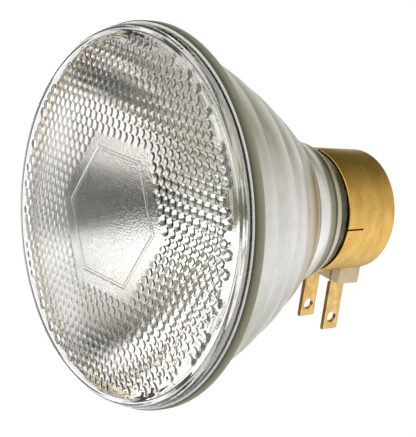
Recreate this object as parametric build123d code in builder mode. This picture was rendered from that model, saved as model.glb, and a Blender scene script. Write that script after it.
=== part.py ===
import os
from math import cos, radians, sin, sqrt, tan

from build123d import *

os.makedirs("parts", exist_ok=True)

# Reflector flood lamp with a pressed glass lens and a side-prong base, in millimetres.
# The origin is the centre of the base's flat back, +Z runs to the lens and the prongs point to -Y.

# Brass base shell
shell_length = 21.8
shell_back_radius = 20.6
shell_front_radius = 21.5
shell_wall = 0.5
shell_edge_round = 0.8
slit_count = 4
slit_width = 0.6
slit_length = 7.2

# Insulator block in the shell's window
block_width = 22.0
block_back = 1.8
block_length = 9.6
block_reach = 23.7
block_inner = 11.0
block_round = 0.5
window_clearance = 0.12

# Folded brass prongs
prong_spacing = 12.7
prong_width = 6.3
prong_leaf = 0.7
prong_fold_gap = 0.2
prong_reach = 42.3
prong_tail = 2.0
prong_lean = 3.0
prong_inset = 0.5
prong_return_gap = 0.6
prong_hole_radius = 1.95
prong_hole_to_tip = 4.7
slot_clearance = 0.05

# Glass reflector bowl
seam_height = 94.6
flange_step = 0.9
flange_thickness = 4.0
flange_round = 0.6
seam_lip = 3.7
mirror_vertex = 27.8
bowl_wall = 3.2
floor_height = 31.0
floor_thickness = 4.0
neck_join_height = 39.5
neck_wall = 2.8
neck_clearance = 0.15
neck_gap = 0.8
tip_root_radius = 3.0
tip_end_radius = 1.2
tip_length = 8.0

# Glass lens
lens_radius = 60.3
lens_rim_height = 6.6
lens_crown_height = 10.3
lens_thickness = 3.5
lens_skirt_wall = 2.8
lens_shoulder_round = 5.0
lens_inner_round = 1.0
lens_turn = 4.0

# Beads and the hexagon outline on the lens's inner face
bead_pitch = 3.3
bead_height = 0.7
bead_root = 0.1
bead_sink = 0.8
bare_rings = 9
outline_radius = 23.0
outline_width = 0.8
outline_height = 0.35

# Filament mount
ferrule_radius = 2.6
ferrule_wall = 0.4
ferrule_drop = 2.0
ferrule_clearance = 0.05
lead_radius = 0.7
lead_bend = 1.3
filament_length = 9.0
filament_radius = 0.9
filament_wall = 0.3
wire_radius = 0.5
wire_bend = 4.0

sides = (("left", -1), ("right", 1))


def shell_radius(height):
    """Outside radius of the tapered shell at a height above its back."""
    return shell_back_radius + (shell_front_radius - shell_back_radius) * height / shell_length


def parabola_radius(focal, vertex, height):
    """Radius of a paraboloid about Z at a height."""
    return 2 * sqrt(focal * (height - vertex))


def parabola_arc(focal, start, end):
    """Exact parabola between two of its (radius, height) points, as a quadratic curve."""
    middle = (start[0] + end[0]) / 2
    slope = start[0] / (2 * focal)
    return Bezier(start, (middle, start[1] + slope * (middle - start[0])), end)


# Brass shell: a drawn cup with a slight taper, crimping slits in its mouth and a window for the block.
block_front = block_back + block_length
with BuildPart() as base_shell:
    with BuildSketch(Plane.XZ) as shell_profile:
        with BuildLine():
            Polyline(
                (0, 0),
                (shell_back_radius, 0),
                (shell_front_radius, shell_length),
                (shell_front_radius - shell_wall, shell_length),
                (shell_radius(shell_wall) - shell_wall, shell_wall),
                (0, shell_wall),
                close=True,
            )
        make_face()
        back_corner = shell_profile.vertices().group_by(Axis.Y)[0].sort_by(Axis.X)[-1]
        fillet(back_corner, shell_edge_round)
        inner_point = (shell_back_radius - shell_wall, shell_wall)
        fillet(shell_profile.vertices().sort_by_distance(inner_point)[0], shell_edge_round - shell_wall)
    revolve(axis=Axis.Z)
    with PolarLocations(shell_front_radius, slit_count):
        with Locations((0, 0, shell_length)):
            Box(2 * shell_front_radius, slit_width, 2 * slit_length, mode=Mode.SUBTRACT)
    with Locations((0, -block_reach / 2, (block_back + block_front) / 2)):
        Box(
            block_width + 2 * window_clearance,
            block_reach,
            block_length + 2 * window_clearance,
            mode=Mode.SUBTRACT,
        )
base_shell.part.label = "base_shell"
export_step(base_shell.part, "parts/base_shell.step")

# Prongs: each is a brass strip folded double at the tip, its outer leaf running on through the block.
prong_thickness = 2 * prong_leaf + prong_fold_gap
prong_middle = block_front - prong_inset - prong_width / 2
lean_across = (0, -sin(radians(prong_lean)), cos(radians(prong_lean)))


def prong_plane(side):
    """Sketch plane across a prong: X across its leaves, -Y toward its tip, Z along its width."""
    drop = block_reach * tan(radians(prong_lean))
    origin = (side * prong_spacing / 2, 0, prong_middle + drop)
    return Plane(origin=origin, x_dir=(1, 0, 0), z_dir=lean_across)


def along_prong(reach):
    """Distance down a leaning prong at which it is a given way from the lamp's axis."""
    return reach / cos(radians(prong_lean))


prong_tip = along_prong(prong_reach)
prong_start = along_prong(block_inner - prong_tail)
return_start = along_prong(block_reach + prong_return_gap)
leaf_offset = (prong_leaf + prong_fold_gap) / 2
for name, side in sides:
    with BuildPart() as prong:
        with BuildSketch(prong_plane(side)):
            with Locations((0, -prong_tip / 2)):
                Rectangle(prong_thickness, prong_tip)
            with Locations((0, -(prong_tip - prong_leaf) / 2)):
                Rectangle(prong_fold_gap, prong_tip - prong_leaf, mode=Mode.SUBTRACT)
            with Locations((side * leaf_offset, -prong_start / 2)):
                Rectangle(prong_leaf, prong_start, mode=Mode.SUBTRACT)
            with Locations((-side * leaf_offset, -return_start / 2)):
                Rectangle(prong_leaf, return_start, mode=Mode.SUBTRACT)
        extrude(amount=prong_width / 2, both=True)
        fold_edges = prong.faces().sort_by(Axis.Y)[0].edges().filter_by(Axis.X, reverse=True)
        fillet(fold_edges, prong_leaf)
        hole_middle = prong_plane(side).from_local_coords((0, prong_hole_to_tip - prong_tip, 0))
        with Locations(Plane(hole_middle, z_dir=(1, 0, 0))):
            Hole(prong_hole_radius)
    prong.part.label = f"prong_{name}"
    export_step(prong.part, f"parts/prong_{name}.step")

# Insulator block: fills the shell's window, slotted at the front for the prongs' outer leaves.
with BuildPart() as insulator_block:
    with Locations((0, -(block_reach + block_inner) / 2, (block_back + block_front) / 2)):
        Box(block_width, block_reach - block_inner, block_length)
    long_edges = insulator_block.edges().filter_by(Axis.Y)
    outer_edges = insulator_block.faces().sort_by(Axis.Y)[0].edges()
    fillet(long_edges + outer_edges, block_round)
    for name, side in sides:
        with BuildSketch(prong_plane(side).offset(-prong_width / 2 - slot_clearance)):
            with Locations((side * leaf_offset, -prong_tip / 2)):
                Rectangle(prong_leaf + 2 * slot_clearance, prong_tip)
        extrude(amount=prong_width + block_length, mode=Mode.SUBTRACT)
insulator_block.part.label = "insulator_block"
export_step(insulator_block.part, "parts/insulator_block.step")

# Reflector bowl: a pressed glass paraboloid with a flange at the lens, a hollow neck that enters the
# shell, a flat floor with two sealing holes, and the sealed-off tip of the exhaust tube under it.
bowl_top_radius = lens_radius - seam_lip
mirror_focal = bowl_top_radius**2 / (4 * (seam_height - mirror_vertex))
flange_radius = lens_radius + flange_step
flange_under = seam_height - flange_thickness
outer_vertex = mirror_vertex - bowl_wall
outer_top_radius = parabola_radius(mirror_focal, mirror_vertex, flange_under) + bowl_wall
outer_focal = outer_top_radius**2 / (4 * (flange_under - outer_vertex))
floor_radius = parabola_radius(mirror_focal, mirror_vertex, floor_height)
floor_under = floor_height - floor_thickness
neck_bottom = block_front + neck_gap
neck_join_radius = parabola_radius(outer_focal, outer_vertex, neck_join_height)


def neck_radius(height):
    """Outside radius of the neck: parallel to the shell inside it, then flaring to the bowl."""
    inside = shell_radius(min(height, shell_length)) - shell_wall - neck_clearance
    flare = (neck_join_radius - inside) / (neck_join_height - shell_length)
    return inside + flare * max(height - shell_length, 0)


with BuildPart() as reflector_bowl:
    with BuildSketch(Plane.XZ) as bowl_profile:
        with BuildLine():
            Polyline(
                (0, floor_height),
                (floor_radius, floor_height),
            )
            parabola_arc(mirror_focal, (floor_radius, floor_height), (bowl_top_radius, seam_height))
            Polyline(
                (bowl_top_radius, seam_height),
                (flange_radius, seam_height),
                (flange_radius, flange_under),
                (outer_top_radius, flange_under),
            )
            neck_join = (neck_join_radius, neck_join_height)
            parabola_arc(outer_focal, (outer_top_radius, flange_under), neck_join)
            Polyline(
                neck_join,
                (neck_radius(shell_length), shell_length),
                (neck_radius(neck_bottom), neck_bottom),
                (neck_radius(neck_bottom) - neck_wall, neck_bottom),
                (neck_radius(shell_length) - neck_wall, shell_length),
                (neck_radius(floor_under) - neck_wall, floor_under),
                (tip_root_radius, floor_under),
                (tip_end_radius, floor_under - tip_length),
                (0, floor_under - tip_length),
                (0, floor_height),
            )
        make_face()
        fillet(bowl_profile.vertices().group_by(Axis.X)[-1], flange_round)
    revolve(axis=Axis.Z)
    with Locations((-prong_spacing / 2, 0, floor_height), (prong_spacing / 2, 0, floor_height)):
        Hole(ferrule_radius + ferrule_clearance, depth=floor_thickness)
reflector_bowl.part.label = "reflector_bowl"
export_step(reflector_bowl.part, "parts/reflector_bowl.step")

# Filament mount: metal ferrules sealed in the floor, lead wires up to the focus, the coil between them,
# and a wire from each ferrule down to the tail of its prong.
focus_height = mirror_vertex + mirror_focal
ferrule_bottom = floor_under - ferrule_drop
wire_height = prong_plane(1).from_local_coords((0, -prong_start, 0)).Z
for name, side in sides:
    lead_x = side * prong_spacing / 2
    with BuildPart() as ferrule:
        with Locations((lead_x, 0, (floor_height + ferrule_bottom) / 2)):
            Cylinder(ferrule_radius, floor_height - ferrule_bottom)
        rim = ferrule.faces().sort_by(Axis.Z)[-1]
        offset(amount=-ferrule_wall, openings=rim)
    ferrule.part.label = f"ferrule_{name}"
    export_step(ferrule.part, f"parts/ferrule_{name}.step")

    with BuildPart() as lead:
        with BuildLine(Plane.XZ) as lead_path:
            FilletPolyline(
                (lead_x, ferrule_bottom + ferrule_wall),
                (lead_x, focus_height),
                (side * filament_length / 2, focus_height),
                radius=lead_bend,
            )
        with BuildSketch(Plane(lead_path.line @ 0, z_dir=lead_path.line % 0)):
            Circle(lead_radius)
        sweep()
    lead.part.label = f"lead_{name}"
    export_step(lead.part, f"parts/lead_{name}.step")

    with BuildPart() as wire:
        with BuildLine(Plane.YZ.offset(lead_x + side * leaf_offset)) as wire_path:
            FilletPolyline(
                (0, ferrule_bottom),
                (0, wire_height),
                (prong_tail - block_inner, wire_height),
                radius=wire_bend,
            )
        with BuildSketch(Plane(wire_path.line @ 0, z_dir=wire_path.line % 0)):
            Circle(wire_radius)
        sweep()
    wire.part.label = f"base_wire_{name}"
    export_step(wire.part, f"parts/base_wire_{name}.step")

with BuildPart() as filament:
    with Locations((0, 0, focus_height)):
        Cylinder(filament_radius, filament_length, rotation=(0, 90, 0))
        Cylinder(filament_radius - filament_wall, filament_length, rotation=(0, 90, 0), mode=Mode.SUBTRACT)
filament.part.label = "filament_coil"
export_step(filament.part, "parts/filament_coil.step")

# Lens: a shallow dome with a skirt that is fused to the bowl's flange at the seam.
crown_height = seam_height + lens_crown_height
rim_height = seam_height + lens_rim_height
skirt_radius = lens_radius - lens_skirt_wall
dome_radius = (lens_radius**2 + (crown_height - rim_height) ** 2) / (2 * (crown_height - rim_height))
dome_center = crown_height - dome_radius


def dome_height(radius, depth):
    """Height of the dome at a distance from the axis, at a depth below the outer face."""
    return dome_center + sqrt((dome_radius - depth) ** 2 - radius**2)


# Beads: six-sided facets packed in rings about a bare hexagon. They form one faceted sheet whose back is
# sunk in the glass, so that only the beads stand out of the lens's inner face.
bead_corner = bead_pitch / sqrt(3)
bead_field_radius = skirt_radius - lens_inner_round
ring_limit = int(bead_field_radius / (bead_pitch * cos(radians(30)))) + 1
edge_neighbours = ((0, 1), (-1, 1), (-1, 0), (0, -1), (1, -1), (1, 0))


def on_inner_face(point, depth):
    """The point of the lens's inner face above a flat point, lowered by a depth."""
    height = dome_height(0, lens_thickness) - point.length**2 / (2 * dome_radius) - depth
    return Vector(point.X, point.Y, height)


bead_centers = {}
for column in range(-ring_limit, ring_limit + 1):
    for row in range(-ring_limit, ring_limit + 1):
        ring = max(abs(column), abs(row), abs(column + row))
        center = Vector(bead_pitch * (column + row / 2), bead_pitch * row * sqrt(3) / 2)
        if ring >= bare_rings and center.length + bead_corner < bead_field_radius:
            bead_centers[column, row] = center.rotate(Axis.Z, lens_turn)

bead_faces = []
for (column, row), center in bead_centers.items():
    spokes = [Vector(bead_corner, 0).rotate(Axis.Z, lens_turn + 30 + 60 * k) for k in range(6)]
    root = [on_inner_face(center + spoke, bead_root) for spoke in spokes]
    back = [on_inner_face(center + spoke, -bead_sink) for spoke in spokes]
    peak = on_inner_face(center, bead_height)
    bead_faces.append(Face(Wire.make_polygon(back)))
    for k, (column_step, row_step) in enumerate(edge_neighbours):
        after = (k + 1) % 6
        bead_faces.append(Face(Wire.make_polygon([peak, root[k], root[after]])))
        if (column + column_step, row + row_step) not in bead_centers:
            bead_faces.append(Face(Wire.make_polygon([root[k], root[after], back[after], back[k]])))

with BuildPart() as lens:
    with BuildSketch(Plane.XZ) as lens_profile:
        with BuildLine():
            skirt_top = dome_height(skirt_radius, lens_thickness)
            half_out = lens_radius / 2
            half_in = skirt_radius / 2
            ThreePointArc(
                (0, crown_height),
                (half_out, dome_height(half_out, 0)),
                (lens_radius, rim_height),
            )
            Polyline(
                (lens_radius, rim_height),
                (lens_radius, seam_height),
                (skirt_radius, seam_height),
                (skirt_radius, skirt_top),
            )
            ThreePointArc(
                (skirt_radius, skirt_top),
                (half_in, dome_height(half_in, lens_thickness)),
                (0, crown_height - lens_thickness),
            )
            Line((0, crown_height - lens_thickness), (0, crown_height))
        make_face()
        shoulder = lens_profile.vertices().sort_by_distance((lens_radius, rim_height))[0]
        fillet(shoulder, lens_shoulder_round)
        inner_corner = lens_profile.vertices().sort_by_distance((skirt_radius, skirt_top))[0]
        fillet(inner_corner, lens_inner_round)
    revolve(axis=Axis.Z)
    with BuildSketch(Plane.XY.offset(dome_height(outline_radius, lens_thickness) - outline_height)):
        RegularPolygon(outline_radius, 6, rotation=lens_turn)
        RegularPolygon(outline_radius - outline_width, 6, rotation=lens_turn, mode=Mode.SUBTRACT)
    extrude(amount=lens_thickness / 2)
    add(Solid(Shell(bead_faces)))
lens.part.label = "lens"
export_step(lens.part, "parts/lens.step")
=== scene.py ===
from math import cos, pi, radians, sin, sqrt, tan

import bmesh
import bpy
import numpy as np
from mathutils import Matrix, Vector
from mathutils.geometry import delaunay_2d_cdt


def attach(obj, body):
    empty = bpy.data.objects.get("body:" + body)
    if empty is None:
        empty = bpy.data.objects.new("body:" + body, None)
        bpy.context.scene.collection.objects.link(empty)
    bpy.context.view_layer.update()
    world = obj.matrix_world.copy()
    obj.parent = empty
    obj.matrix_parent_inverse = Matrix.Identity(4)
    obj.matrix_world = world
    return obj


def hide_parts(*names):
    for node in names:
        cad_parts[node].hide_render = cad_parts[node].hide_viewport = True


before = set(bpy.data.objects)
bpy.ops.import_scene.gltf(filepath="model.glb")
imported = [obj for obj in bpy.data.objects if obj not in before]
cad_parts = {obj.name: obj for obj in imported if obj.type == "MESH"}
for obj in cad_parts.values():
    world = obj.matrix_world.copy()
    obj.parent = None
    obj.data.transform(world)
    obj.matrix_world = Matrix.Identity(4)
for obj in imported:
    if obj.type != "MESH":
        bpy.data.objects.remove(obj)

scene = bpy.context.scene
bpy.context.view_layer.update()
mm = 0.001


# mesh helpers

def parabolaRadius(focal, vertex, height):  # radius of a paraboloid about Z: twice the root of focal times rise
    return 2 * np.sqrt(focal * (np.asarray(height) - vertex))


def arcPoints(center, radius, startDeg, endDeg, count):  # points on a circle, from one angle to another
    angle = np.radians(np.linspace(startDeg, endDeg, count))
    return np.column_stack((center[0] + radius * np.cos(angle), center[1] + radius * np.sin(angle)))


def circlePoints(center, radius, count, startDeg=0):  # a whole circle, with no point twice
    return arcPoints(center, radius, startDeg, startDeg + 360, count + 1)[:-1]


def revolve(profile, turns, endsOnAxis=True):
    # a (radius, height) profile carried round Z: x = r cos a, y = r sin a; pole points where it starts and ends
    profile = np.asarray(profile, float)
    rings = profile[1:-1] if endsOnAxis else profile[1:]
    angle = np.arange(turns) * 2 * pi / turns
    x = rings[:, :1] * np.cos(angle)
    y = rings[:, :1] * np.sin(angle)
    z = np.repeat(rings[:, 1:], turns, axis=1)
    verts = np.vstack(([[0, 0, profile[0, 1]]], np.stack((x, y, z), -1).reshape(-1, 3)))
    here = np.arange(turns)
    after = (here + 1) % turns
    low = 1 + np.arange(len(rings) - 1)[:, None] * turns
    quads = np.stack((low + here, low + turns + here, low + turns + after, low + after), -1)
    faces = np.column_stack((0 * here, 1 + here, 1 + after)).tolist() + quads.reshape(-1, 4).tolist()
    if endsOnAxis:
        last = 1 + (len(rings) - 1) * turns
        pole = np.full(turns, len(verts))
        faces += np.column_stack((last + here, pole, last + after)).tolist()
        verts = np.vstack((verts, [[0, 0, profile[-1, 1]]]))
    return verts, faces, np.arange(len(faces)) // turns  # the last gives each face's band along the profile


def outwardMesh(name, verts, faces):  # mesh in metres from millimetre points, every face turned outward
    mesh = bpy.data.meshes.new(name)
    mesh.from_pydata((np.asarray(verts) * mm).tolist(), [], faces)
    work = bmesh.new()
    work.from_mesh(mesh)
    bmesh.ops.recalc_face_normals(work, faces=work.faces)
    work.to_mesh(mesh)
    work.free()
    return mesh


def smoothFaces(piece, sharpDeg):
    mesh = piece.data
    mesh.polygons.foreach_set("use_smooth", np.ones(len(mesh.polygons), bool))
    mesh.set_sharp_from_angle(angle=radians(sharpDeg))


def faceVectors(piece, name):  # one vector for each face, its normal or its center
    values = np.empty(len(piece.data.polygons) * 3, np.float32)
    piece.data.polygons.foreach_get(name, values)
    return values.reshape(-1, 3).astype(float)


def newPiece(name, mesh, finishes, sharpDeg=30):
    piece = bpy.data.objects.new(name, mesh)
    scene.collection.objects.link(piece)
    for finish in finishes:
        mesh.materials.append(finish)
    smoothFaces(piece, sharpDeg)
    return piece


def bakeModifiers(piece):  # the piece's modifiers become its mesh
    bpy.context.view_layer.update()
    graph = bpy.context.evaluated_depsgraph_get()
    mesh = bpy.data.meshes.new_from_object(
        piece.evaluated_get(graph), preserve_all_data_layers=True, depsgraph=graph)
    old = piece.data
    piece.modifiers.clear()
    piece.data = mesh
    mesh.name = piece.name
    bpy.data.meshes.remove(old)


def cutAway(piece, cutterMesh):  # takes a closed cutter out of a piece
    cutter = bpy.data.objects.new("cutter", cutterMesh)
    scene.collection.objects.link(cutter)
    cut = piece.modifiers.new("cut", "BOOLEAN")
    cut.operation = "DIFFERENCE"
    cut.solver = "EXACT"
    cut.object = cutter
    bakeModifiers(piece)
    bpy.data.objects.remove(cutter)
    bpy.data.meshes.remove(cutterMesh)


def roundEdges(piece, width, segments, limitDeg):  # rounds each edge that turns by more than the limit
    bevel = piece.modifiers.new("round", "BEVEL")
    bevel.width = width * mm
    bevel.segments = segments
    bevel.limit_method = "ANGLE"
    bevel.angle_limit = radians(limitDeg)
    bevel.harden_normals = False
    bakeModifiers(piece)


def boxMesh(name, low, high):  # the box between two opposite corners
    xs, ys, zs = zip(low, high)
    corners = np.array([(x, y, z) for x in xs for y in ys for z in zs])
    sides = [(0, 1, 3, 2), (4, 6, 7, 5), (0, 4, 5, 1), (2, 3, 7, 6), (0, 2, 6, 4), (1, 5, 7, 3)]
    return outwardMesh(name, corners, sides)


def prismMesh(name, outline, low, high, place=None):
    # a flat outline carried straight from one height to another, closed at both ends
    outline = np.asarray(outline, float)
    count = len(outline)
    bottom = np.column_stack((outline, np.full(count, low)))
    top = np.column_stack((outline, np.full(count, high)))
    verts = np.vstack((bottom, top))
    here = np.arange(count)
    after = (here + 1) % count
    faces = np.column_stack((here, after, after + count, here + count)).tolist()
    faces += [here[::-1].tolist(), (here + count).tolist()]
    if place is not None:
        verts = verts @ place[:3, :3].T + place[:3, 3]
    return outwardMesh(name, verts, faces)


def tubeMesh(name, path, radius, sides):
    # a circle carried along a path, in the plane across it, with flat ends
    path = np.asarray(path, float)
    offPath = [0.31, 0.87, 0.38]  # a direction that the path never takes
    along = np.gradient(path, axis=0)
    along /= np.linalg.norm(along, axis=1)[:, None]
    across = np.cross(along, offPath)
    across /= np.linalg.norm(across, axis=1)[:, None]
    other = np.cross(along, across)
    angle = np.arange(sides) * 2 * pi / sides
    ring = across[:, None] * np.cos(angle)[:, None] + other[:, None] * np.sin(angle)[:, None]
    verts = (path[:, None] + radius * ring).reshape(-1, 3)
    here = np.arange(sides)
    after = (here + 1) % sides
    low = np.arange(len(path) - 1)[:, None] * sides
    quads = np.stack((low + here, low + after, low + sides + after, low + sides + here), -1)
    faces = quads.reshape(-1, 4).tolist()
    faces += [here.tolist(), (here + (len(path) - 1) * sides).tolist()]
    return outwardMesh(name, verts, faces)


# finish helpers

pressedGlass = {"Transmission Weight": 1.0, "IOR": 1.47}


def newFinish(name, look, **sockets):
    finish = bpy.data.materials.new(name)
    finish.use_nodes = True
    shader = finish.node_tree.nodes["Principled BSDF"]
    shader.inputs["Base Color"].default_value = (*look["color"], 1)
    shader.inputs["Roughness"].default_value = look["roughness"]
    for socket, value in sockets.items():
        shader.inputs[socket].default_value = value
    return finish, finish.node_tree, shader


def mathNode(tree, operation, *values):
    node = tree.nodes.new("ShaderNodeMath")
    node.operation = operation
    for k, value in enumerate(values):
        if isinstance(value, (int, float)):
            node.inputs[k].default_value = value
        else:
            tree.links.new(value, node.inputs[k])
    return node.outputs[0]


def rampNode(tree, value, stops):  # a stop's tone is a colour, or one number for a grey
    node = tree.nodes.new("ShaderNodeValToRGB")
    ramp = node.color_ramp
    while len(ramp.elements) < len(stops):
        ramp.elements.new(0.5)
    for element, (place, tone) in zip(ramp.elements, stops):
        color = tone if isinstance(tone, tuple) else (tone,) * 3
        element.position = place
        element.color = (*color, 1)
    tree.links.new(value, node.inputs[0])
    return node.outputs[0]


def noiseNode(tree, vector, scale, detail=3, rough=0.5):  # scale is one number, or three that stretch the noise
    if isinstance(scale, tuple):
        mapping = tree.nodes.new("ShaderNodeMapping")
        mapping.inputs["Scale"].default_value = scale
        tree.links.new(vector, mapping.inputs["Vector"])
        vector, scale = mapping.outputs[0], 1.0
    node = tree.nodes.new("ShaderNodeTexNoise")
    node.inputs["Scale"].default_value = scale
    node.inputs["Detail"].default_value = detail
    node.inputs["Roughness"].default_value = rough
    tree.links.new(vector, node.inputs["Vector"])
    return node.outputs["Fac"]


def tinted(tree, color, tint):  # one colour multiplied by another
    node = tree.nodes.new("ShaderNodeMix")
    node.data_type = "RGBA"
    node.blend_type = "MULTIPLY"
    node.inputs["Factor"].default_value = 1.0
    tree.links.new(color, node.inputs["A"])
    tree.links.new(tint, node.inputs["B"])
    return node.outputs["Result"]


def addBump(tree, shader, height, strength, distance):
    node = tree.nodes.new("ShaderNodeBump")
    node.inputs["Strength"].default_value = strength
    node.inputs["Distance"].default_value = distance
    tree.links.new(height, node.inputs["Height"])
    tree.links.new(node.outputs[0], shader.inputs["Normal"])


def swingRoughness(tree, shader, grain, look):  # the grain makes the roughness swing about its own value
    less, more = (look["roughness"] + change for change in look["grainRough"])
    tree.links.new(rampNode(tree, grain, [(0.3, less), (0.7, more)]), shader.inputs["Roughness"])


def objectCoords(tree):
    return tree.nodes.new("ShaderNodeTexCoord").outputs["Object"]


def heightShare(tree, coords, span, sway=None, wander=0):
    # 0 to 1 between two heights in millimetres; a sway, times the wander, bends the level
    split = tree.nodes.new("ShaderNodeSeparateXYZ")
    tree.links.new(coords, split.inputs[0])
    height = split.outputs["Z"]
    if sway is not None:
        height = mathNode(tree, "MULTIPLY_ADD", sway, wander, height)
    low, high = span
    return mathNode(tree, "MULTIPLY_ADD", height, 1 / ((high - low) * mm), -low / (high - low))


# lens: clear pressed glass, smooth outside, beads and a stippled hexagon inside

lensParts = {
    "radius": 60.3, "seam": 94.6, "rim": 6.6, "crown": 10.3, "thickness": 3.5, "skirt": 2.8,
    "shoulder": 5.0, "innerRound": 1.0, "footRound": 0.7, "seamStep": 0.8, "turnDeg": 4.0, "turns": 480,
    "domeSteps": 14, "wallSteps": 31, "roundSteps": 6, "ridges": 4, "ridgeDepth": 0.07, "sharpDeg": 32,
    "pitch": 3.3, "beadHeight": 0.42, "beadRoot": 0.1, "beadReach": 0.45, "beadPower": 3,
    "cellSteps": 4, "bareRings": 9, "stippleFade": 0.5,
    "ribRadius": 23.3, "ribWidth": 1.4, "ribHeight": 0.4, "ribSlope": 0.6, "ribSteps": 34,
    "ribLoops": (-0.5, -0.35, -0.2, 0, 0.2, 0.35, 0.5),  # shares of the width
    "edgeGap": 0.6, "ribGap": 0.5,  # clear of the edge and the rib, in steps of the lattice
    "fusedBands": 6,  # from the seam face into the inner round
    "clear": {
        "color": (0.988, 0.99, 0.98), "roughness": 0.0, "stipple": (1100, 1700, 1700), "bump": (0.5, 0.00032)},
    "fused": {"color": (0.95, 0.95, 0.93), "roughness": 0.14, "waves": 150, "bump": (0.3, 0.0008)},
}


def lensDome(parts):  # radius and centre height of the outer dome, which passes through crown and rim
    rise = parts["crown"] - parts["rim"]
    radius = (parts["radius"] ** 2 + rise ** 2) / (2 * rise)
    return radius, parts["seam"] + parts["crown"] - radius


def lensProfile(parts):
    # outer dome, rounded shoulder, wall, seam face, inner wall and inner round, as (radius, height); the fine
    # ridges take a squared sine off the shoulder's circle
    dome, middle = lensDome(parts)
    shoulder = parts["shoulder"]
    wall = parts["radius"]
    steps = parts["roundSteps"]
    roundX = wall - shoulder
    roundZ = middle + sqrt((dome - shoulder) ** 2 - roundX ** 2)
    lean = np.degrees(np.arctan2(roundZ - middle, roundX))
    outX = np.linspace(0, roundX * dome / (dome - shoulder), parts["domeSteps"])
    outer = np.column_stack((outX, middle + np.sqrt(dome ** 2 - outX ** 2)))
    angle = np.radians(np.linspace(lean, 0, parts["wallSteps"]))
    ridge = np.sin(np.linspace(0, parts["ridges"] * pi, len(angle))) ** 2
    reach = shoulder - parts["ridgeDepth"] * ridge
    corner = np.column_stack((roundX + reach * np.cos(angle), roundZ + reach * np.sin(angle)))
    foot = parts["footRound"]
    footArc = arcPoints((wall - foot, parts["seam"] + foot), foot, 0, -90, steps)
    inner = wall - parts["skirt"]
    seamFace = [[inner + parts["seamStep"], parts["seam"]], [inner, parts["seam"]]]
    innerRound = parts["innerRound"]
    inX = inner - innerRound
    inDome = dome - parts["thickness"]
    inZ = middle + sqrt((inDome - innerRound) ** 2 - inX ** 2)
    inLean = np.degrees(np.arctan2(inZ - middle, inX))
    inArc = arcPoints((inX, inZ), innerRound, 0, inLean, steps)
    toSeam = np.vstack((outer, corner[1:], footArc))
    return np.vstack((toSeam, seamFace, inArc)), len(toSeam) - 1  # the last is the seam face's first band


def hexDistance(x, y, turnDeg):  # how far out a point is, measured across the flats of a hexagon
    angle = np.radians(turnDeg + 30 + 60 * np.arange(3))
    return np.abs(x[:, None] * np.cos(angle) + y[:, None] * np.sin(angle)).max(1)


def ribDistance(parts):  # from the axis to the middle of the rib, across the flats
    return (parts["ribRadius"] - parts["ribWidth"] / 2) * cos(pi / 6)


def lensDepth(x, y, parts, fieldRadius):
    # beads: domes on a hexagonal lattice outside the bare rings, each falling with a power of the distance from
    # its middle; rib: a hexagon outline with a flat top and sloped sides
    turn = radians(parts["turnDeg"])
    pitch = parts["pitch"]
    u = (x * cos(turn) + y * sin(turn)) / pitch
    v = (-x * sin(turn) + y * cos(turn)) / pitch
    row = v * 2 / sqrt(3)
    column = u - row / 2
    cube = np.stack((column, row, -column - row))  # three lattice directions, which add up to nothing
    near = np.rint(cube)
    worst = np.abs(near - cube).argmax(0)
    for k in range(3):
        others = -near.sum(0) + near[k]
        near[k] = np.where(worst == k, others, near[k])
    ring = np.abs(near).max(0)
    centerX = pitch * (near[0] + near[1] / 2)
    centerY = pitch * near[1] * sqrt(3) / 2
    kept = (ring >= parts["bareRings"]) & (np.hypot(centerX, centerY) + pitch / sqrt(3) < fieldRadius)
    away = np.hypot(u * pitch - centerX, v * pitch - centerY)
    share = np.minimum(away / (parts["beadReach"] * pitch), 1)
    cap = parts["beadHeight"] * (1 - share ** parts["beadPower"])
    bead = np.where(kept, parts["beadRoot"] + cap, 0)
    offRib = np.abs(hexDistance(x, y, parts["turnDeg"]) - ribDistance(parts)) / (parts["ribWidth"] / 2)
    rib = parts["ribHeight"] * np.clip((1 - offRib) / parts["ribSlope"], 0, 1)
    return np.maximum(bead, rib)


def loopEdges(start, count):  # pairs of neighbours round a closed loop of points
    here = start + np.arange(count)
    return np.column_stack((here, np.roll(here, -1))).tolist()


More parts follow.
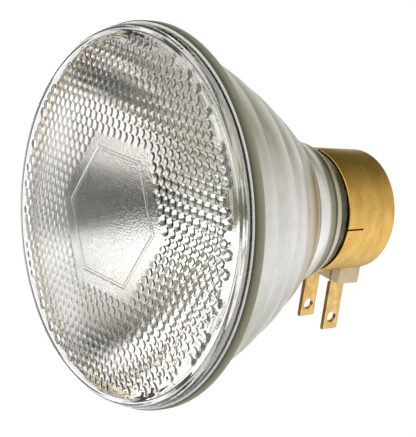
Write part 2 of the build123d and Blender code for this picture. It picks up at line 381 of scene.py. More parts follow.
def lensInside(parts, edgeRadius):
    # triangles between the points of a fine lattice that shares the bead cells' corners, of the rib's loops and
    # of the edge
    step = parts["pitch"] / sqrt(3) / parts["cellSteps"]
    turn = radians(parts["turnDeg"])
    reach = int(edgeRadius / step) * 2
    span = np.arange(-reach, reach + 1)
    i, j = np.meshgrid(span, span)
    i, j = i.ravel(), j.ravel()
    x = step * (i * cos(turn + pi / 6) + j * cos(turn + pi / 2))
    y = step * (i * sin(turn + pi / 6) + j * sin(turn + pi / 2))
    inside = np.hypot(x, y) < edgeRadius - step * parts["edgeGap"]
    x, y = x[inside], y[inside]
    ribMiddle = ribDistance(parts)
    offRib = np.abs(hexDistance(x, y, parts["turnDeg"]) - ribMiddle)
    clear = offRib > parts["ribWidth"] / 2 + step * parts["ribGap"]
    points = [np.column_stack((x[clear], y[clear]))]
    edges = []
    total = len(points[0])
    cornerAngle = turn + np.arange(7) * pi / 3
    share = np.arange(parts["ribSteps"])[:, None] / parts["ribSteps"]
    for offset in parts["ribLoops"]:
        cornerRadius = (ribMiddle + offset * parts["ribWidth"]) / cos(pi / 6)
        corner = cornerRadius * np.column_stack((np.cos(cornerAngle), np.sin(cornerAngle)))
        loop = np.vstack([corner[k] * (1 - share) + corner[k + 1] * share for k in range(6)])
        points.append(loop)
        edges += loopEdges(total, len(loop))
        total += len(loop)
    angle = np.arange(parts["turns"]) * 2 * pi / parts["turns"]
    points.append(edgeRadius * np.column_stack((np.cos(angle), np.sin(angle))))
    edges += loopEdges(total, parts["turns"])
    flat = [Vector(p) for p in np.vstack(points).tolist()]
    weld = 1e-6  # points closer than this become one
    made = delaunay_2d_cdt(flat, edges, [], 0, weld)
    return np.array(made[0]), np.array(made[2])


def buildLens(parts, finishes):
    # the profile revolved, and the beaded sheet joined to its last ring: inner dome less depth of bead or rib
    profile, seamBand = lensProfile(parts)
    turns = parts["turns"]
    verts, faces, bands = revolve(profile, turns, endsOnAxis=False)
    edgeRadius = profile[-1, 0]
    edgeSlack = 1e-4
    fieldRadius = parts["radius"] - parts["skirt"] - parts["innerRound"]
    flatXY, triangles = lensInside(parts, edgeRadius)
    dome, middle = lensDome(parts)
    away = np.hypot(flatXY[:, 0], flatXY[:, 1])
    depth = lensDepth(flatXY[:, 0], flatXY[:, 1], parts, fieldRadius)
    onEdge = away > edgeRadius - edgeSlack
    height = middle + np.sqrt((dome - parts["thickness"]) ** 2 - away ** 2) - np.where(onEdge, 0, depth)
    lastRing = len(verts) - turns
    ringIndex = np.rint(np.arctan2(flatXY[:, 1], flatXY[:, 0]) / (2 * pi / turns)).astype(int) % turns
    fresh = np.cumsum(~onEdge) - 1
    index = np.where(onEdge, lastRing + ringIndex, len(verts) + fresh)
    verts = np.vstack((verts, np.column_stack((flatXY, height))[~onEdge]))
    faces = faces + index[triangles].tolist()
    mesh = outwardMesh("lensGlass", verts, faces)
    hexOut = hexDistance(verts[:, 0], verts[:, 1], parts["turnDeg"])
    bareEdge = (parts["bareRings"] - 0.5) * parts["pitch"] * cos(pi / 6)
    isInner = np.arange(len(verts)) >= lastRing
    stipple = np.where(isInner, np.clip((bareEdge - hexOut) / parts["stippleFade"], 0, 1), 0)
    mesh.attributes.new("stipple", "FLOAT", "POINT").data.foreach_set("value", stipple.astype(np.float32))
    zone = np.zeros(len(faces), int)  # 0 clear glass, 1 fused foot and inner wall
    zone[:len(bands)][(bands >= seamBand) & (bands < seamBand + parts["fusedBands"])] = 1
    mesh.polygons.foreach_set("material_index", zone)
    return newPiece("lensGlass", mesh, finishes, parts["sharpDeg"])


def lensFinish(look):  # clear glass, stippled where the piece's own attribute says so
    finish, tree, shader = newFinish("lensGlassClear", look, **pressedGlass)
    grain = noiseNode(tree, objectCoords(tree), look["stipple"], 2)
    mask = tree.nodes.new("ShaderNodeAttribute")
    mask.attribute_name = "stipple"
    addBump(tree, shader, mathNode(tree, "MULTIPLY", grain, mask.outputs["Fac"]), *look["bump"])
    return finish


def lensFootFinish(look):  # the fused foot and the skirt's inner wall, a little frosted and wavy from pressing
    finish, tree, shader = newFinish("lensGlassFused", look, **pressedGlass)
    addBump(tree, shader, noiseNode(tree, objectCoords(tree), look["waves"]), *look["bump"])
    return finish


lens = buildLens(lensParts, [lensFinish(lensParts["clear"]), lensFootFinish(lensParts["fused"])])
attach(lens, "root")
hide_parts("lens")
print("lens", len(lens.data.polygons))


# bowl: pressed glass with a silver film, which also shows outside, and a clear neck in the brass shell

bowlParts = {
    "seam": 94.6, "flangeRadius": 61.2, "flangeThickness": 4.0, "flangeRound": 0.6, "mirrorTop": 56.6,
    "mirrorVertex": 27.8, "wall": 3.2, "floor": 31.0, "floorThickness": 4.0, "floorRing": 0.5, "neckJoin": 39.5,
    "neckWall": 2.8, "neckBottom": 12.2, "neckInShell": 20.85, "neckAtBottom": 20.454, "shellLength": 21.8,
    "tipRoot": 3.0, "tipEnd": 1.2, "tipLength": 8.0, "turns": 256, "sharpDeg": 25,
    "mirrorSteps": 40, "roundSteps": 5, "bandSteps": 13, "joinSteps": 5, "neckSteps": 37,
    "holeSpacing": 12.7, "holeRadius": 2.65, "holeSteps": 48, "holeSpare": 1.0,
    "holeTurnDeg": 3.75,  # half a step, so that no corner lies on the revolved edges
    "bands": (90.6, 78.9, 65.6, 55.6, 43.6), "bandSwell": (0.35, 0.55, 0.45, 0.25),
    "neckWaves": ((36.6, 2.4, 0.35), (31.4, 1.2, -0.2), (27.5, 1.3, 0.35)),  # height, width and rise of each
    "filmEnd": 27.2,
    "mirror": {
        "color": (0.93, 0.92, 0.90), "roughness": 0.03, "haze": 120, "hazeRough": [(0.3, 0.02), (0.75, 0.06)],
        "amberSpan": (85.5, 95.5), "wander": 0.002,
        "amber": [(0.7, (0.93, 0.92, 0.90)), (0.82, (0.86, 0.74, 0.54)), (0.97, (0.66, 0.47, 0.26))]},
    "clear": {
        # gloss tints the reflections olive: painted reflection tint
        "color": (0.93, 0.935, 0.89), "roughness": 0.02, "gloss": (0.6, 0.55, 0.28, 1),
        "lines": (90, 90, 700), "bump": (0.5, 0.0003)},
    "film": {
        "color": (0.83, 0.82, 0.80), "roughness": 0.32, "metal": 0.85,
        "coat": {"Coat Weight": 0.6, "Coat Roughness": 0.2, "Coat IOR": 1.47},
        # lip and ring are painted highlights, groove and neck are painted shade; silver, dull and tan are the
        # film's own tones
        "tones": {
            "silver": (0.83, 0.82, 0.80), "dull": (0.56, 0.53, 0.45), "tan": (0.42, 0.34, 0.19),
            "lip": (0.66, 0.61, 0.50), "paintedShadeLine": (0.09, 0.075, 0.04), "ring": (1.0, 1.0, 0.99),
            "neck": (0.30, 0.28, 0.20)},
        "span": (27.0, 66.0),
        "rings": [  # height where each tone starts and ends, from the neck up
            # the lip and ring bands are painted highlights, the groove bands and the neck band painted shade
            ("lip", 27.0, 28.8), ("paintedShadeLine", 29.1, 30.0), ("neck", 30.4, 32.8), ("ring", 34.4, 40.4),
            ("paintedShadeLine", 41.1, 43.0), ("lip", 43.8, 45.0), ("tan", 46.0, 49.0), ("dull", 53.0, 55.0),
            ("silver", 57.5, 66.0)],
        "sway": 60, "wander": 0.0014, "cloud": 220, "cloudTone": [(0.35, 0.92), (0.65, 1.0)],
        "grain": 1500, "grainRough": [(0.3, 0.27), (0.7, 0.37)], "bump": (0.15, 0.00003)},
    "flange": {
        "color": (0.2, 0.2, 0.15), "roughness": 0.5, "span": (90.6, 94.6),
        # darker towards the seam: painted shade of the gap at the lens's foot
        "rings": [
            (0.0, (0.40, 0.385, 0.28)), (0.3, (0.29, 0.28, 0.195)), (0.7, (0.175, 0.175, 0.105)),
            (0.9, (0.08, 0.08, 0.045)), (1.0, (0.04, 0.04, 0.022))],
        "sand": 900, "sandTone": [(0.3, 0.86), (0.7, 1.0)], "bump": (0.3, 0.00005)},
    "joint": {
        "color": (0.92, 0.91, 0.87), "roughness": 0.3,
        "waves": 300, "wavesRough": [(0.35, 0.22), (0.65, 0.36)]},
    # near black: painted shade inside the shell and the hollow neck
    "neckInside": {
        "color": (0.035, 0.033, 0.02), "roughness": 0.6, "gloss": 0.1, "cloud": 250,
        "cloudTone": [(0.35, (0.03, 0.029, 0.01)), (0.7, (0.09, 0.085, 0.035))]},
}


def bowlProfile(parts):
    # mirror paraboloid, flange, outer paraboloid, neck cone, neck wall, floor and tip, as (radius, height);
    # each ring of the outside swells by a parabola, and each wave of the neck is a bell curve
    focal = parts["mirrorTop"] ** 2 / (4 * (parts["seam"] - parts["mirrorVertex"]))
    flangeUnder = parts["seam"] - parts["flangeThickness"]
    outerVertex = parts["mirrorVertex"] - parts["wall"]
    outerTop = float(parabolaRadius(focal, parts["mirrorVertex"], flangeUnder)) + parts["wall"]
    outerFocal = outerTop ** 2 / (4 * (flangeUnder - outerVertex))
    floorUnder = parts["floor"] - parts["floorThickness"]
    floorEdge = float(parabolaRadius(focal, parts["mirrorVertex"], parts["floor"]))
    floor = [[0, parts["floor"]], [floorEdge * parts["floorRing"], parts["floor"]]]
    mirrorR = np.linspace(floorEdge, parts["mirrorTop"], parts["mirrorSteps"])
    mirrorZ = parts["mirrorVertex"] + mirrorR ** 2 / (4 * focal)
    mirror = np.column_stack((parabolaRadius(focal, parts["mirrorVertex"], mirrorZ), mirrorZ))
    mirror[-1] = (parts["mirrorTop"], parts["seam"])
    edge = parts["flangeRound"]
    edgeX = parts["flangeRadius"] - edge
    top = arcPoints((edgeX, parts["seam"] - edge), edge, 90, 0, parts["roundSteps"])
    bottom = arcPoints((edgeX, flangeUnder + edge), edge, 0, -90, parts["roundSteps"])
    joinRadius = float(parabolaRadius(outerFocal, outerVertex, parts["neckJoin"]))
    outer = []
    bands = parts["bands"]
    share = np.linspace(0, 1, parts["bandSteps"])
    for upper, lower, rise in zip(bands[:-1], bands[1:], parts["bandSwell"]):
        z = upper + (lower - upper) * share
        swell = rise * (4 * share * (1 - share))
        outer.append(np.column_stack((parabolaRadius(outerFocal, outerVertex, z) + swell, z))[:-1])
    z = np.linspace(bands[-1], parts["neckJoin"], parts["joinSteps"])
    outer.append(np.column_stack((parabolaRadius(outerFocal, outerVertex, z), z)))
    outer = np.vstack(outer)
    shellTop = parts["shellLength"]
    wall = parts["neckWall"]
    inShell = parts["neckInShell"]
    flare = (joinRadius - inShell) / (parts["neckJoin"] - shellTop)
    share = np.linspace(0, 1, parts["neckSteps"])[1:, None]
    neckOut = np.array([joinRadius, parts["neckJoin"]]) * (1 - share) + np.array([inShell, shellTop]) * share
    for middle, width, rise in parts["neckWaves"]:
        neckOut[:, 0] += rise * np.exp(-((neckOut[:, 1] - middle) / width) ** 2)
    rest = np.array([
        [parts["neckAtBottom"], parts["neckBottom"]],
        [parts["neckAtBottom"] - wall, parts["neckBottom"]],
        [inShell - wall, shellTop],
        [inShell + flare * (floorUnder - shellTop) - wall, floorUnder],
        [parts["tipRoot"], floorUnder],
        [parts["tipEnd"], floorUnder - parts["tipLength"]],
        [0, floorUnder - parts["tipLength"]],
    ])
    points = np.vstack((floor, mirror, top, bottom, outer, neckOut, rest))
    topAt = len(floor) + len(mirror)
    outerAt = topAt + len(top) + len(bottom)
    restAt = outerAt + len(outer) + len(neckOut)
    return points, topAt, outerAt, restAt


def buildBowl(parts, finishes):  # the profile revolved, less two holes in the floor
    profile, topAt, outerAt, restAt = bowlProfile(parts)
    verts, faces, bands = revolve(profile, parts["turns"])
    mesh = outwardMesh("bowlGlass", verts, faces)
    heights = profile[bands, 1]
    floorBand = restAt + 3  # the floor seen from the neck
    mirror, clear, film, flange, joint, neckInside = range(len(finishes))
    zone = np.full(len(bands), clear)
    zone[bands < topAt] = mirror
    zone[(bands > topAt) & (bands < outerAt)] = flange
    zone[(bands == topAt - 1) | (bands == topAt)] = joint
    zone[(bands >= outerAt) & (bands < restAt) & (heights > parts["filmEnd"])] = film
    zone[(bands >= restAt - 1) & (bands < floorBand)] = neckInside
    zone[bands == floorBand] = film
    mesh.polygons.foreach_set("material_index", zone)
    piece = newPiece("bowlGlass", mesh, finishes, parts["sharpDeg"])
    low = parts["floor"] - parts["floorThickness"] - parts["holeSpare"]
    high = parts["floor"] + parts["holeSpare"]
    for side in (-1, 1):
        center = (side * parts["holeSpacing"] / 2, 0)
        circle = circlePoints(center, parts["holeRadius"], parts["holeSteps"], parts["holeTurnDeg"])
        cutAway(piece, prismMesh("hole", circle, low, high))
    smoothFaces(piece, parts["sharpDeg"])
    return piece


def mirrorFinish(look):  # silver film with a faint haze, amber where it ends at the seam
    finish, tree, shader = newFinish("bowlSilver", look, Metallic=1.0)
    coords = objectCoords(tree)
    haze = noiseNode(tree, coords, look["haze"])
    tree.links.new(rampNode(tree, haze, look["hazeRough"]), shader.inputs["Roughness"])
    share = heightShare(tree, coords, look["amberSpan"], haze, look["wander"])
    tree.links.new(rampNode(tree, share, look["amber"]), shader.inputs["Base Color"])
    return finish


def clearFinish(look):  # clear glass with fine draw lines round the neck; its reflections tinted olive, a painted reflection tint
    finish, tree, shader = newFinish("bowlGlassClear", look, **pressedGlass, **{"Specular Tint": look["gloss"]})
    addBump(tree, shader, noiseNode(tree, objectCoords(tree), look["lines"], 2), *look["bump"])
    return finish


def filmFinish(look):
    # the silver film seen through the glass: pale, a little blotchy, tan where it thins; painted highlights and
    # painted shade in rings at the neck
    finish, tree, shader = newFinish("bowlSilverOutside", look, Metallic=look["metal"], **look["coat"])
    coords = objectCoords(tree)
    sway = mathNode(tree, "SUBTRACT", noiseNode(tree, coords, look["sway"]), 0.5)
    share = heightShare(tree, coords, look["span"], sway, look["wander"])
    low, high = look["span"]
    stops = [((z - low) / (high - low), look["tones"][tone]) for tone, *ends in look["rings"] for z in ends]
    cloud = rampNode(tree, noiseNode(tree, coords, look["cloud"], 4, 0.6), look["cloudTone"])
    tree.links.new(tinted(tree, rampNode(tree, share, stops), cloud), shader.inputs["Base Color"])
    grain = noiseNode(tree, coords, look["grain"], 2)
    tree.links.new(rampNode(tree, grain, look["grainRough"]), shader.inputs["Roughness"])
    addBump(tree, shader, grain, *look["bump"])
    return finish


def flangeFinish(look):  # ground glass edge: olive grey with a sandy grain, darkening to nearly black at the seam as painted shade
    finish, tree, shader = newFinish("flangeGround", look)
    coords = objectCoords(tree)
    color = rampNode(tree, heightShare(tree, coords, look["span"]), look["rings"])
    grain = noiseNode(tree, coords, look["sand"], 3, 0.6)
    tree.links.new(tinted(tree, color, rampNode(tree, grain, look["sandTone"])), shader.inputs["Base Color"])
    addBump(tree, shader, grain, *look["bump"])
    return finish


def jointFinish(look):  # fused joint between lens and flange
    finish, tree, shader = newFinish("seamFused", look)
    waves = noiseNode(tree, objectCoords(tree), look["waves"])
    tree.links.new(rampNode(tree, waves, look["wavesRough"]), shader.inputs["Roughness"])
    return finish


def neckInsideFinish(look):  # near-black painted shade on the neck inside the shell and in its hollow
    finish, tree, shader = newFinish("neckDark", look, **{"Specular IOR Level": look["gloss"]})
    cloud = noiseNode(tree, objectCoords(tree), look["cloud"])
    tree.links.new(rampNode(tree, cloud, look["cloudTone"]), shader.inputs["Base Color"])
    return finish


bowl = buildBowl(bowlParts, [
    mirrorFinish(bowlParts["mirror"]), clearFinish(bowlParts["clear"]), filmFinish(bowlParts["film"]),
    flangeFinish(bowlParts["flange"]), jointFinish(bowlParts["joint"]),
    neckInsideFinish(bowlParts["neckInside"])])
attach(bowl, "root")
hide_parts("reflector_bowl")
print("bowl", len(bowl.data.polygons))


# base shell: drawn brass cup with slits and a window

shellParts = {
    "length": 21.8, "backRadius": 20.6, "frontRadius": 21.5, "wall": 0.5, "edgeRound": 0.8, "mouthRound": 0.24,
    "turns": 256, "flatSteps": 5, "backSteps": 9, "innerSteps": 7, "sideSteps": 12, "mouthSteps": 9,
    "sharpDeg": 30,
    "slits": 4, "slitWidth": 0.6, "slitLength": 7.2, "slitCut": 3.0, "slitSpare": 1.0,
    "windowWidth": 22.24, "windowBack": 1.68, "windowFront": 11.52, "windowCut": (-24, -8),
    "cutShare": 0.7,  # how far a cut wall faces along the turn
    "brass": {
        "color": (0.88, 0.57, 0.17), "dull": (0.70, 0.42, 0.10), "roughness": 0.32,
        "cloud": (110, 110, 260), "grain": (60, 60, 4000),
        "speck": 1100, "speckFrom": 0.73, "speckSoft": 0.04, "speckTint": (0.45, 0.33, 0.24),
        "grainRough": (-0.06, 0.08), "bump": (0.25, 0.00003)},
    # cut faces of the slits and the window near black: painted shade in the openings
    "cutEdgeShade": {"color": (0.12, 0.07, 0.03), "dull": (0.06, 0.035, 0.015), "roughness": 0.5},
}


def shellProfile(parts):
    # rounded back corner, tapered wall, rounded mouth and the same line inside, as (radius, height)
    wall = parts["wall"]
    edge = parts["edgeRound"]
    lip = parts["mouthRound"]
    slope = (parts["frontRadius"] - parts["backRadius"]) / parts["length"]
    edgeX = parts["backRadius"] + slope * edge - edge
    outer = arcPoints((edgeX, edge), edge, -90, 0, parts["backSteps"])
    inner = arcPoints((edgeX, edge), edge - wall, 0, -90, parts["innerSteps"])
    flats = np.linspace(0, outer[0, 0], parts["flatSteps"] + 1)[:-1]
    outBack = np.column_stack((flats, np.zeros(len(flats))))
    inBack = np.column_stack((flats[::-1], np.full(len(flats), wall)))
    lipZ = parts["length"] - lip
    z = np.linspace(edge, lipZ, parts["sideSteps"])[1:]
    outSide = np.column_stack((parts["backRadius"] + slope * z, z))
    inSide = outSide[::-1] - [wall, 0]
    mouth = arcPoints((parts["frontRadius"] - wall / 2, 0), wall / 2, 0, 180, parts["mouthSteps"])[1:-1]
    mouth[:, 1] = lipZ + mouth[:, 1] * lip / (wall / 2)  # a half circle, flattened to the lip's height
    return np.vstack((outBack, outer, outSide, mouth, inSide, inner, inBack))


def buildShell(parts, finishes):  # the profile revolved, less the slits and the window
    mesh = outwardMesh("brassShell", *revolve(shellProfile(parts), parts["turns"])[:2])
    piece = newPiece("brassShell", mesh, finishes, parts["sharpDeg"])
    slit = np.array([[-1, -1], [1, -1], [1, 1], [-1, 1]]) * [parts["slitCut"], parts["slitWidth"] / 2]
    slit = slit + [parts["frontRadius"], 0]
    low, high = parts["length"] - parts["slitLength"], parts["length"] + parts["slitSpare"]
    for angle in 2 * pi * np.arange(parts["slits"]) / parts["slits"]:
        turned = slit @ np.array([[cos(angle), sin(angle)], [-sin(angle), cos(angle)]])
        cutAway(piece, prismMesh("slit", turned, low, high))
    half = parts["windowWidth"] / 2
    near, far = parts["windowCut"]
    cutAway(piece, boxMesh("window", (-half, near, parts["windowBack"]), (half, far, parts["windowFront"])))
    normal, center = faceVectors(piece, "normal"), faceVectors(piece, "center")
    alongTurn = normal[:, 1] * center[:, 0] - normal[:, 0] * center[:, 1]
    shadedCut = np.abs(alongTurn) > parts["cutShare"] * np.hypot(center[:, 0], center[:, 1])
    piece.data.polygons.foreach_set("material_index", shadedCut.astype(int))  # painted shade: darker than the drawn faces
    smoothFaces(piece, parts["sharpDeg"])
    return piece


def brassFinish(name, look):  # brass with a cloudy tarnish, fine drawing lines and small brown specks
    finish, tree, shader = newFinish(name, look, Metallic=1.0)
    coords = objectCoords(tree)
    cloud = noiseNode(tree, coords, look["cloud"], 4, 0.6)
    color = rampNode(tree, cloud, [(0.35, look["dull"]), (0.65, look["color"])])
    speckStops = [(look["speckFrom"], 1), (look["speckFrom"] + look["speckSoft"], look["speckTint"])]
    spots = rampNode(tree, noiseNode(tree, coords, look["speck"], 1), speckStops)
    tree.links.new(tinted(tree, color, spots), shader.inputs["Base Color"])
    lines = noiseNode(tree, coords, look["grain"], 3, 0.6)
    swingRoughness(tree, shader, lines, look)
    addBump(tree, shader, lines, *look["bump"])
    return finish


def brassPair(name, parts):  # the drawn faces, and the same brass darker on its cut faces, as painted shade
    cutShadeLook = {**parts["brass"], **parts["cutEdgeShade"]}
    return [brassFinish(name + "Brass", parts["brass"]), brassFinish(name + "CutEdgeShade", cutShadeLook)]


shell = buildShell(shellParts, brassPair("shell", shellParts))
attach(shell, "root")
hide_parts("base_shell")
print("shell", len(shell.data.polygons))


# prongs: brass strips folded double at the tip

prongParts = {
    "spacing": 12.7, "width": 6.3, "leaf": 0.7, "gap": 0.2, "reach": 42.3, "start": 9.0, "returnStart": 24.3,
    "leanDeg": 3.0, "middle": 7.75, "blockReach": 23.7, "foldOutSteps": 15, "foldInSteps": 7,
    "holeRadius": 1.95, "holeToTip": 4.7, "holeSteps": 48, "holeCut": 3.0,
    "edgeRound": 0.12, "edgeSteps": 2, "edgeDeg": 50, "sharpDeg": 35,
    "cutShare": 0.9,  # how far a cut edge faces along the width
    "brass": {
        "color": (0.82, 0.58, 0.24), "dull": (0.66, 0.43, 0.15), "roughness": 0.34,
        "cloud": (500, 350, 500), "grain": (900, 300, 900),
        "speck": 1400, "speckFrom": 0.7, "speckSoft": 0.04, "speckTint": (0.45, 0.3, 0.2),
        "grainRough": (-0.06, 0.08), "bump": (0.25, 0.00003)},
    # narrow cut sides dark brown: painted shade on the strip's edges
    "cutEdgeShade": {"color": (0.36, 0.20, 0.08), "dull": (0.22, 0.11, 0.04), "roughness": 0.5},
}


def prongPlace(parts, side):  # local X across the leaves, local Y away from the tip, local Z along the width
    lean = radians(parts["leanDeg"])
    place = np.eye(4)
    zAxis = np.array([0, -sin(lean), cos(lean)])
    place[:3, 0] = (1, 0, 0)
    place[:3, 1] = np.cross(zAxis, (1, 0, 0))
    place[:3, 2] = zAxis
    place[:3, 3] = (side * parts["spacing"] / 2, 0, parts["middle"] + parts["blockReach"] * tan(lean))
    return place


def prongOutline(parts, side):
    # a long leaf, a round fold at the tip and a short leaf back, as a flat outline across the strip
    stretch = 1 / cos(radians(parts["leanDeg"]))
    tip = -parts["reach"] * stretch
    half = parts["leaf"] + parts["gap"] / 2
    slot = parts["gap"] / 2
    foldOut = arcPoints((0, tip + half), half, 0, -180, parts["foldOutSteps"])
    foldIn = arcPoints((0, tip + half), slot, -180, 0, parts["foldInSteps"])
    top = -parts["start"] * stretch
    returnTop = -parts["returnStart"] * stretch
    returnEnd = [[-half, returnTop], [-slot, returnTop]]
    outline = np.vstack(([[half, top]], foldOut, returnEnd, foldIn, [[slot, top]]))
    return outline * [side, 1]


def buildProng(parts, name, side, finishes):
    # the outline carried along the width, less a round hole across the leaves
    place = prongPlace(parts, side)
    half = parts["width"] / 2
    piece = newPiece(name, prismMesh(name, prongOutline(parts, side), -half, half, place), finishes)
    holeY = -parts["reach"] / cos(radians(parts["leanDeg"])) + parts["holeToTip"]
    circle = circlePoints((0, 0), parts["holeRadius"], parts["holeSteps"])
    throughLeaves = place @ np.array([[0, 0, 1, 0], [1, 0, 0, holeY], [0, 1, 0, 0], [0, 0, 0, 1.0]])
    cutAway(piece, prismMesh("hole", circle, -parts["holeCut"], parts["holeCut"], throughLeaves))
    roundEdges(piece, parts["edgeRound"], parts["edgeSteps"], parts["edgeDeg"])
    shadedCut = np.abs(faceVectors(piece, "normal") @ place[:3, 2]) > parts["cutShare"]
    piece.data.polygons.foreach_set("material_index", shadedCut.astype(int))  # painted shade: darker than the rolled faces
    smoothFaces(piece, parts["sharpDeg"])
    return piece


prongFinishes = brassPair("prong", prongParts)
for name, side in (("left", -1), ("right", 1)):
    prong = buildProng(prongParts, "prongStrip_" + name, side, prongFinishes)
    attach(prong, "root")
    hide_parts("prong_" + name)
print("prongs")


# insulator: moulded block with two slots

blockParts = {
    "width": 22.0, "back": 1.8, "front": 11.4, "reach": 23.7, "inner": 11.0,
    "edgeRound": 0.5, "edgeSteps": 3, "edgeDeg": 40, "sharpDeg": 30,
    "slotClearance": 0.05, "slotCut": 50, "slotTop": 12,
    "moulding": {
        "color": (0.78, 0.72, 0.58), "roughness": 0.6, "cloud": 260, "grain": 2200, "bump": (0.3, 0.00004),
        "cloudTone": [(0.3, (0.80, 0.66, 0.42)), (0.7, (0.90, 0.77, 0.52))],
        "frontShadeSpan": (10.6, 11.6), "frontShadeTone": [(0.3, 1), (0.7, (0.74, 0.73, 0.70))]},  # front panel darker, painted shade
}


def buildBlock(parts, strip, finishes):  # a rounded box, less a slot for each prong
    half = parts["width"] / 2
    low = (-half, -parts["reach"], parts["back"])
    high = (half, -parts["inner"], parts["front"])
    piece = newPiece("insulatorBlock", boxMesh("insulatorBlock", low, high), finishes)
    roundEdges(piece, parts["edgeRound"], parts["edgeSteps"], parts["edgeDeg"])
    slack = parts["slotClearance"]
    end = -parts["slotCut"]
    for side in (-1, 1):
        near = side * strip["gap"] / 2 - side * slack
        far = side * (strip["gap"] / 2 + strip["leaf"] + slack)
        outline = np.array([[near, end], [far, end], [far, 0], [near, 0]])
        bottom = -strip["width"] / 2 - slack
        cutAway(piece, prismMesh("slot", outline, bottom, parts["slotTop"], prongPlace(strip, side)))
    smoothFaces(piece, parts["sharpDeg"])
    return piece


def insulatorFinish(look):  # pale moulding, slightly blotchy and matt, its front panel darkened as painted shade
    finish, tree, shader = newFinish("insulatorBeige", look)
    coords = objectCoords(tree)
    tone = rampNode(tree, noiseNode(tree, coords, look["cloud"], 4, 0.6), look["cloudTone"])
    # the front panel greyed towards its face: painted shade
    front = rampNode(tree, heightShare(tree, coords, look["frontShadeSpan"]), look["frontShadeTone"])
    tree.links.new(tinted(tree, tone, front), shader.inputs["Base Color"])
    addBump(tree, shader, noiseNode(tree, coords, look["grain"], 2), *look["bump"])
    return finish


block = buildBlock(blockParts, prongParts, [insulatorFinish(blockParts["moulding"])])
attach(block, "root")
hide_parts("insulator_block")
print("block")


# filament mount: coil of fine wire on the leads

drawnWire = {"grain": 2500, "grainRough": (-0.08, 0.1), "bump": (0.2, 0.00002)}
coilParts = {
    "height": 39.79, "length": 9.0, "fill": 0.97, "radius": 0.75, "wire": 0.14, "turns": 15, "steps": 20,
    "sides": 6, "sharpDeg": 60,
    "tungsten": {"color": (0.3, 0.3, 0.31), "roughness": 0.35, **drawnWire},
}
mountParts = {
    "nickel": {"color": (0.62, 0.6, 0.57), "roughness": 0.3, **drawnWire},
    "nodes": ("ferrule_left", "ferrule_right", "lead_left", "lead_right", "base_wire_left", "base_wire_right"),
}


def buildCoil(parts, finishes):  # a helix about X: y = r cos t, z = r sin t, x runs evenly with t
    t = np.linspace(0, 1, parts["turns"] * parts["steps"] + 1)
    angle = 2 * pi * parts["turns"] * t
    x = parts["length"] * (t - 0.5) * parts["fill"]
    y = parts["radius"] * np.cos(angle)
    z = parts["height"] + parts["radius"] * np.sin(angle)
    mesh = tubeMesh("filamentWire", np.column_stack((x, y, z)), parts["wire"], parts["sides"])
    return newPiece("filamentWire", mesh, finishes, parts["sharpDeg"])


def wireFinish(name, look):  # drawn wire: a little rough, with a faint grain
    finish, tree, shader = newFinish(name, look, Metallic=1.0)
    grain = noiseNode(tree, objectCoords(tree), look["grain"])
    swingRoughness(tree, shader, grain, look)
    addBump(tree, shader, grain, *look["bump"])
    return finish


coil = buildCoil(coilParts, [wireFinish("filamentGrey", coilParts["tungsten"])])
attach(coil, "root")
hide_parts("filament_coil")

mountMetal = wireFinish("mountNickel", mountParts["nickel"])
for node in mountParts["nodes"]:
    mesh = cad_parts[node].data
    mesh.materials.clear()
    mesh.materials.append(mountMetal)
print("filament mount")


# studio: pale floor, soft light all round, dark room behind the camera

studio = {
    "lens": 131.8, "sensor": 36, "clip": (0.01, 20), "place": (0.3890, 0.1406, 0.3819),
    "right": (0.58366, 0.17461, -0.79302), "up": (-0.32262, 0.94609, -0.02914),
    "back": (0.74519, 0.27286, 0.60850),
    "floor": {"color": (0.9, 0.9, 0.9), "roughness": 0.8},
    "floorSize": 3.0, "floorHeight": -0.0002, "floorGlow": 1.05, "glowShare": 0.9,
    "aside": [(0.0, 1.08), (0.25, 1.05), (0.5, 0.72), (0.7, 0.6), (0.85, 0.18), (1.0, 0.12)],
    "dimTint": [(0.0, (1.0, 1.0, 0.5)), (0.4, (1.0, 0.99, 0.8)), (0.9, (1.0, 1.0, 1.0))],
    "zones": [  # turn: degrees round the camera's upright, to its right; rise: degrees above the level
        {"turn": (128, 200), "rise": (12, 90), "soft": 12, "level": 0.12},
        {"turn": (146, 200), "rise": (2, 26), "soft": 8, "level": 0.6},
        {"turn": (135, 200), "rise": (-60, 8), "soft": 12, "level": 1.08},
        {"turn": (138, 200), "rise": (-36, -12), "soft": 10, "level": 0.5},
        {"turn": (-200, -150), "rise": (-20, 40), "soft": 10, "level": 1.0},
        {"turn": (-160, 50), "rise": (-95, 95), "soft": 12, "level": 0.75},
        {"turn": (-172, -130), "rise": (-66, -22), "soft": 6, "level": 1.8},
        {"turn": (-174, -142), "rise": (-22, 22), "soft": 6, "level": 2.6},
        {"turn": (-140, -98), "rise": (-25, 18), "soft": 6, "level": 1.5},
        {"turn": (40, 72), "rise": (-65, -5), "soft": 8, "level": 1.4},
        {"turn": (-75, 38), "rise": (14, 62), "soft": 8, "level": 1.3},
        {"turn": (-20, 20), "rise": (10, 62), "soft": 5, "level": 2.2},
        {"turn": (-82, -40), "rise": (-14, 8), "soft": 4, "level": 0.05},
        {"turn": (-40, 0), "rise": (-14, 9), "soft": 4, "level": 0.3},
        {"turn": (-2, 44), "rise": (-34, 9), "soft": 3, "level": 0.0},
        {"turn": (-105, -80), "rise": (-42, -11), "soft": 4, "level": 1.6},
        {"turn": (-115, -86), "rise": (-16, 11), "soft": 2, "level": 0.0},
        {"turn": (0, 60), "rise": (-66, -38), "soft": 5, "level": 1.7},
    ],
}


def buildCamera(parts):
    camera = bpy.data.objects.new("camera", bpy.data.cameras.new("camera"))
    camera.data.lens = parts["lens"]
    camera.data.sensor_width = parts["sensor"]
    camera.data.clip_start, camera.data.clip_end = parts["clip"]
    turned = Matrix((parts["right"], parts["up"], parts["back"])).transposed()
    camera.matrix_world = Matrix.Translation(parts["place"]) @ turned.to_4x4()
    scene.collection.objects.link(camera)
    return camera


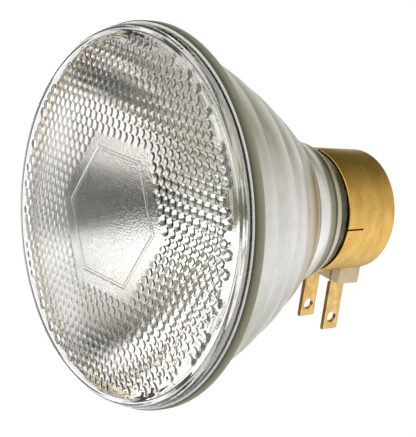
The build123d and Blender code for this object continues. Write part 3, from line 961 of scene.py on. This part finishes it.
def floorFinish(parts):  # pale paint, which glows white where the camera sees it, straight or through glass
    finish, tree, shader = newFinish("floorWhite", parts["floor"])
    glow = tree.nodes.new("ShaderNodeEmission")
    glow.inputs["Strength"].default_value = parts["floorGlow"]
    mix = tree.nodes.new("ShaderNodeMixShader")
    ray = tree.nodes.new("ShaderNodeLightPath")
    seen = mathNode(tree, "MAXIMUM", ray.outputs["Is Camera Ray"], ray.outputs["Is Transmission Ray"])
    tree.links.new(mathNode(tree, "MULTIPLY", seen, parts["glowShare"]), mix.inputs[0])
    tree.links.new(shader.outputs[0], mix.inputs[1])
    tree.links.new(glow.outputs[0], mix.inputs[2])
    tree.links.new(mix.outputs[0], tree.nodes["Material Output"].inputs[0])
    return finish


def buildFloor(parts):  # one square
    half = parts["floorSize"] / 2
    mesh = bpy.data.meshes.new("floor")
    corners = [(-half, -half, 0), (half, -half, 0), (half, half, 0), (-half, half, 0)]
    mesh.from_pydata(corners, [], [(0, 1, 2, 3)])
    mesh.materials.append(floorFinish(parts))
    floor = bpy.data.objects.new("floor", mesh)
    floor.location.z = parts["floorHeight"]
    floor.visible_glossy = False
    scene.collection.objects.link(floor)
    return floor


def facing(tree, ray, direction):  # how far a light ray's direction agrees with a given one, from -1 to 1
    node = tree.nodes.new("ShaderNodeVectorMath")
    node.operation = "DOT_PRODUCT"
    tree.links.new(ray, node.inputs[0])
    node.inputs[1].default_value = direction
    return node.outputs["Value"]


def stepAt(tree, value, edgeDeg, softDeg):  # 0 below an angle, 1 above it, with a soft step
    node = tree.nodes.new("ShaderNodeMapRange")
    node.interpolation_type = "SMOOTHSTEP"
    tree.links.new(value, node.inputs["Value"])
    node.inputs["From Min"].default_value = radians(edgeDeg - softDeg)
    node.inputs["From Max"].default_value = radians(edgeDeg + softDeg)
    return node.outputs["Result"]


def within(tree, value, ends, softDeg):  # 1 between two angles, 0 outside them
    low, high = (stepAt(tree, value, end, softDeg) for end in ends)
    return mathNode(tree, "SUBTRACT", low, high)


def buildLight(parts):
    world = bpy.data.worlds.new("studio")
    world.use_nodes = True
    tree = world.node_tree
    background = tree.nodes["Background"]
    ray = tree.nodes.new("ShaderNodeTexCoord").outputs["Generated"]
    upward = facing(tree, ray, parts["up"])
    turn = mathNode(tree, "ARCTAN2", facing(tree, ray, parts["right"]), facing(tree, ray, parts["back"]))
    rise = mathNode(tree, "ARCSINE", upward)
    level = rampNode(tree, mathNode(tree, "MULTIPLY_ADD", upward, 0.5, 0.5), parts["aside"])
    for zone in parts["zones"]:  # inside a zone its own level replaces the level so far
        inTurn = within(tree, turn, zone["turn"], zone["soft"])
        share = mathNode(tree, "MULTIPLY", inTurn, within(tree, rise, zone["rise"], zone["soft"]))
        level = mathNode(tree, "MULTIPLY_ADD", mathNode(tree, "SUBTRACT", zone["level"], level), share, level)
    # plain white where the camera looks past the floor
    straight = tree.nodes.new("ShaderNodeLightPath").outputs["Is Camera Ray"]
    level = mathNode(tree, "MULTIPLY_ADD", mathNode(tree, "SUBTRACT", 1.0, level), straight, level)
    tree.links.new(level, background.inputs["Strength"])
    # the dim parts of the room are olive, the bright ones white
    tree.links.new(rampNode(tree, level, parts["dimTint"]), background.inputs["Color"])
    return world


scene.camera = buildCamera(studio)
floor = buildFloor(studio)
scene.world = buildLight(studio)
scene.view_settings.view_transform = "Standard"
print("studio")
